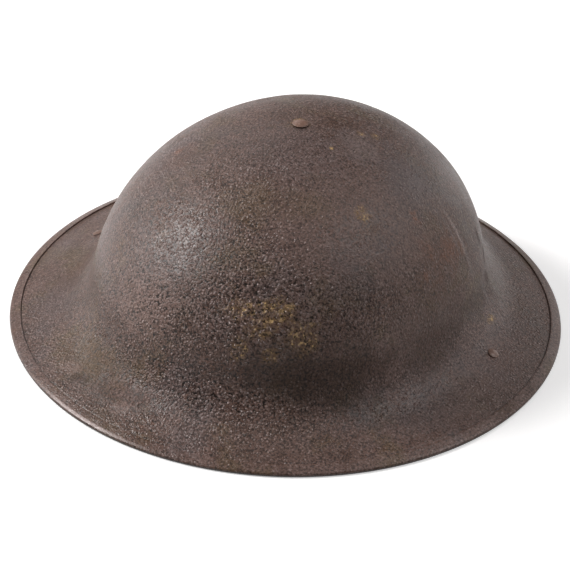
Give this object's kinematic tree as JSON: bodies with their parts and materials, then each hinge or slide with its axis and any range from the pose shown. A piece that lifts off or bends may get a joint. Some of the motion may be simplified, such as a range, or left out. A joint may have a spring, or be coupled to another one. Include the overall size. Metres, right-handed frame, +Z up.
{
  "type": "brodie helmet",
  "caption": "Broad-brimmed pressed steel helmet with a folded rim band, a riveted crown, a netted liner on rubber buffers, swinging bails and a two-piece chinstrap.",
  "frame": {"origin": "middle of the plane that the rim stands on", "axes": "+Z up through the crown rivet, +Y along the helmet's length towards the front, +X across it"},
  "size_m": [0.291, 0.31, 0.113],
  "materials": {
    "shell_paint": "rough sand-textured dark brown paint, worn and rusted",
    "band_paint": "worn dark brown paint, rubbed along the edge",
    "rivet_steel": "painted over and worn",
    "bare_steel": "dull steel",
    "bracket_steel": "painted over, rust at the edges",
    "bail_wire": "blackened wire, worn",
    "felt": "pressed wool felt",
    "canvas": "unbleached canvas tape",
    "oilcloth": "black oilcloth with a low crazed sheen",
    "rubber": "dark red-brown rubber tube",
    "twine": "knotted cotton twine",
    "drawcord": "twisted cotton cord",
    "strap_leather": "russet leather, edges darkened",
    "strap_rivet_brass": "dull brass",
    "buckle_steel": "tarnished steel wire"
  },
  "bodies": {
    "helmet": {"shell": "shell_paint", "rim_band": "band_paint", "crown_rivet": "rivet_steel", "crown_washer": "bare_steel", "crown_pad": "felt", "crown_straps": "canvas", "head_band": "oilcloth", "rubber_buffer_1": "rubber", "rubber_buffer_2": "rubber", "rubber_buffer_3": "rubber", "rubber_buffer_4": "rubber", "rubber_buffer_5": "rubber", "rubber_buffer_6": "rubber", "rubber_buffer_7": "rubber", "rubber_buffer_8": "rubber", "rubber_buffer_9": "rubber", "rubber_buffer_10": "rubber", "rubber_buffer_11": "rubber", "rubber_buffer_12": "rubber", "net": "twine", "drawstring": "drawcord", "left_bracket": "bracket_steel", "right_bracket": "bracket_steel", "left_bracket_rivet": "rivet_steel", "right_bracket_rivet": "rivet_steel"},
    "left_bail": {"left_bail": "bail_wire"},
    "right_bail": {"right_bail": "bail_wire"},
    "left_strap": {"left_strap": "strap_leather", "left_strap_rivet": "strap_rivet_brass", "buckle_rivet": "strap_rivet_brass"},
    "right_strap": {"right_strap": "strap_leather", "right_strap_rivet": "strap_rivet_brass"},
    "buckle": {"slide_buckle": "buckle_steel"}
  },
  "joints": [
    {"name": "left_bail_swing", "type": "hinge", "parent": "helmet", "child": "left_bail", "pos_m": [-0.10781, 0, 0.01116], "axis": [0, 1, 0], "range_deg": [-10, 100]},
    {"name": "right_bail_swing", "type": "hinge", "parent": "helmet", "child": "right_bail", "pos_m": [0.10781, 0, 0.01116], "axis": [0, -1, 0], "range_deg": [-10, 100]},
    {"name": "left_strap_swing", "type": "hinge", "parent": "left_bail", "child": "left_strap", "pos_m": [-0.09202, 0, 0.00485], "axis": [0, 1, 0], "range_deg": [-25, 70]},
    {"name": "right_strap_swing", "type": "hinge", "parent": "right_bail", "child": "right_strap", "pos_m": [0.09202, 0, 0.00485], "axis": [0, -1, 0], "range_deg": [-12, 70]},
    {"name": "buckle_swing", "type": "hinge", "parent": "left_strap", "child": "buckle", "pos_m": [-0.01779, 0.00833, 0.00435], "axis": [-0.2079, 0.9781, 0], "range_deg": [-90, 60]}
  ]
}
